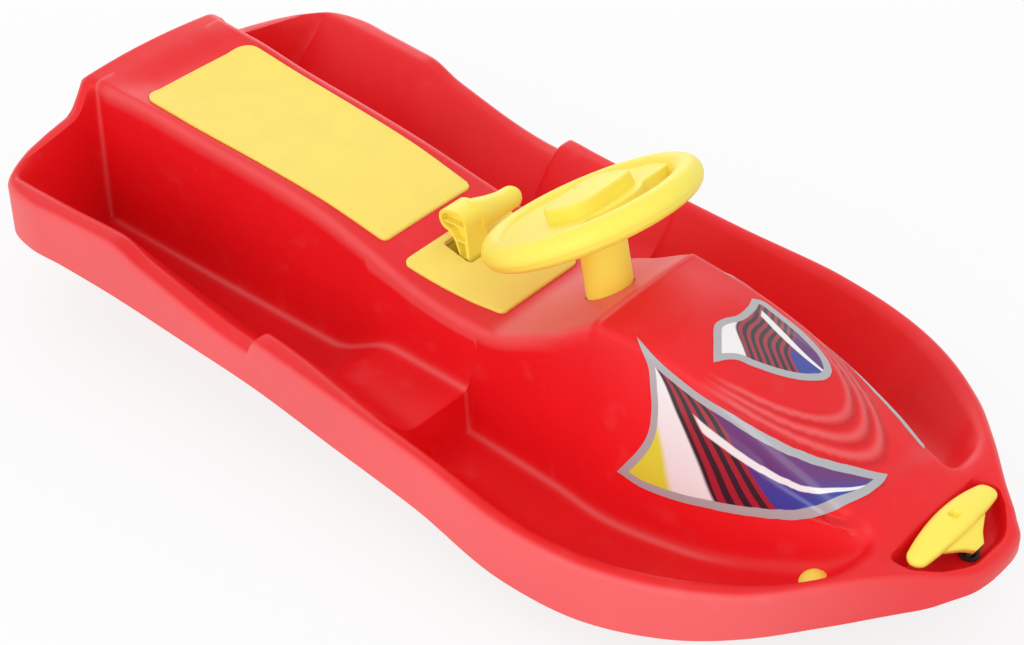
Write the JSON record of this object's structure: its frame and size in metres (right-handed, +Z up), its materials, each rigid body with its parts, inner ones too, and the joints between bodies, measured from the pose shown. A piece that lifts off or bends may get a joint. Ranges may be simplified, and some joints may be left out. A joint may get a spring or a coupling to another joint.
{
  "type": "steering sled",
  "caption": "Child's plastic sled with a padded saddle, foot wells, a bonnet, a steering wheel that turns a front ski, a hand brake and a tow handle on a reel.",
  "frame": {"origin": "on the ground under the middle of the body", "axes": "+X towards the nose, +Y to the rider's left, +Z up"},
  "size_m": [1.0473, 0.4922, 0.304],
  "materials": {
    "red_plastic": "satin moulded red",
    "yellow_foam": "pale yellow closed-cell foam",
    "yellow_plastic": "satin moulded yellow",
    "black_plastic": "dark moulded plastic",
    "steel": "zinc-plated steel",
    "cord": "braided dark cord"
  },
  "bodies": {
    "sled": {"hull": "red_plastic", "seat_pad": "yellow_foam", "front_pad": "yellow_foam", "upper_bush": "black_plastic", "lower_bush": "black_plastic", "brake_axle": "steel", "axle_clips": "steel", "brake_spring": "steel", "cord_eyelet": "black_plastic", "reel_case": "black_plastic", "reel_cover": "black_plastic", "reel_axle": "steel", "reel_spring": "steel", "gutter_plugs": "yellow_plastic"},
    "steering": {"steering_wheel": "yellow_plastic", "hub_cover": "yellow_plastic", "wheel_bolt": "steel", "steering_column": "yellow_plastic", "front_ski": "black_plastic", "ski_washer": "steel", "ski_bolt": "steel"},
    "brake": {"brake_lever": "yellow_plastic", "brake_claw": "steel", "claw_screws": "steel"},
    "tow": {"tow_handle": "yellow_plastic", "tow_cord": "cord"},
    "spool": {"reel_spool": "black_plastic", "cord_winding": "cord"}
  },
  "joints": [
    {"name": "steering_turn", "type": "hinge", "parent": "sled", "child": "steering", "pos_m": [0.102, 0, 0.169], "axis": [-0.2079, 0, 0.9781], "range_deg": [-30, 30]},
    {"name": "brake_pull", "type": "hinge", "parent": "sled", "child": "brake", "pos_m": [-0.044, 0, 0.08], "axis": [0, -1, 0], "range_deg": [0, 10], "stiffness_Nm_per_rad": 0.6, "springref_deg": -28.65},
    {"name": "tow_pull", "type": "slide", "parent": "sled", "child": "tow", "axis": [0.5299, 0, 0.848], "range_m": [0, 0.036], "stiffness_N_per_m": 20, "springref_m": -0.2},
    {"name": "spool_turn", "type": "hinge", "parent": "sled", "child": "spool", "pos_m": [0.45772, 0, 0.05027], "axis": [0, -1, 0], "range_deg": [0, 165]}
  ],
  "couplings": [
    {"joint": "spool_turn", "follows": "tow_pull", "rad_per_m": 76.923}
  ]
}
